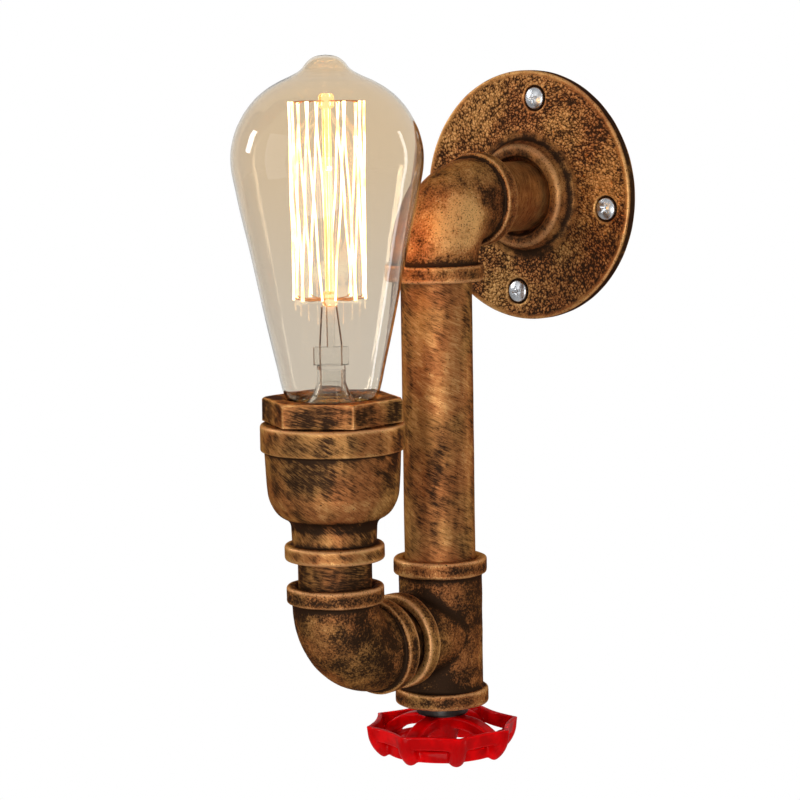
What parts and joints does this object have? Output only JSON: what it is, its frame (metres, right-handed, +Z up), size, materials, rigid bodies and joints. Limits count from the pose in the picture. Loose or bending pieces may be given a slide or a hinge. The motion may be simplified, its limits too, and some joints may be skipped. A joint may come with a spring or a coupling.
{
  "type": "pipe wall light",
  "caption": "Wall light built from banded pipe fittings: a wall flange, an arm that drops and turns up to a cup with a bare teardrop bulb, and a red valve wheel that dims it.",
  "frame": {"origin": "centre of the circle of wall screws, on the wall flange's back face, which is the plane of the wall", "axes": "+Y into the wall, -Y out into the room along the arm, +Z up along the upright pipe and the bulb, +X to the right of someone who faces the wall"},
  "size_m": [0.09, 0.1556, 0.2473],
  "materials": {
    "cast_bronze": "sand-cast iron under a rubbed antique bronze lacquer, dark in the hollows",
    "pipe_bronze": "steel pipe with a brushed antique bronze lacquer",
    "zinc": "bright zinc plate",
    "dark_steel": "blackened steel",
    "brass": "bright brass",
    "porcelain": "white glazed porcelain",
    "black_plastic": "black moulded plastic",
    "red_paint": "glossy red enamel on cast metal",
    "amber_glass": "clear amber-tinted glass",
    "clear_glass": "clear glass",
    "black_glass": "black vitreous insulator",
    "solder": "dull solder",
    "nickel_wire": "bare nickel and copper wire",
    "glowing_filament": "glowing filament",
    "blue_insulation": "blue insulation",
    "brown_insulation": "brown insulation",
    "grey_insulation": "grey insulation",
    "green_yellow_insulation": "green and yellow insulation"
  },
  "bodies": {
    "arm": {"wall_flange": "cast_bronze", "wall_screws": "zinc", "wall_nipple": "pipe_bronze", "upper_elbow": "cast_bronze", "main_pipe": "pipe_bronze", "tee": "cast_bronze", "branch_nipple": "pipe_bronze", "lower_elbow": "cast_bronze", "cup_nipple": "pipe_bronze", "lamp_cup": "cast_bronze", "hex_bushing": "cast_bronze", "lamp_holder": "porcelain", "screw_shell": "brass", "centre_contact": "brass", "terminals": "brass", "terminal_screws": "brass", "holder_plate": "zinc", "holder_screws": "zinc", "holder_tube": "brass", "holder_locknut": "zinc", "earth_ring": "zinc", "tee_plug": "dark_steel", "switch_case": "black_plastic", "switch_cover": "black_plastic", "switch_contacts": "brass", "ring_nut": "dark_steel", "neutral_wire": "blue_insulation", "live_wire": "brown_insulation", "switched_wire": "grey_insulation", "earth_wire": "green_yellow_insulation"},
    "wheel": {"handwheel": "red_paint", "wheel_stem": "dark_steel", "switch_rotor": "black_plastic", "wheel_washer": "zinc", "wheel_nut": "zinc"},
    "bulb_foot": {"cap_insulator": "black_glass", "tip_contact": "solder"},
    "bulb": {"bulb_glass": "amber_glass", "bulb_cap": "brass", "glass_stem": "clear_glass", "lead_wires": "nickel_wire", "top_hooks": "nickel_wire", "bottom_hooks": "nickel_wire", "filament": "glowing_filament"}
  },
  "joints": [
    {"name": "wheel_turn", "type": "hinge", "parent": "arm", "child": "wheel", "pos_m": [0, -0.0574, -0.185], "axis": [0, 0, 1], "range_deg": [-270, 0]},
    {"name": "bulb_lift", "type": "slide", "parent": "arm", "child": "bulb_foot", "axis": [0, 0, 1], "range_m": [0, 0.01275]},
    {"name": "bulb_turn", "type": "hinge", "parent": "bulb_foot", "child": "bulb", "pos_m": [0, -0.1146, 0], "axis": [0, 0, 1], "range_deg": [0, 1260]}
  ],
  "couplings": [
    {"joint": "bulb_lift", "follows": "bulb_turn", "m_per_rad": 0.00057757}
  ]
}
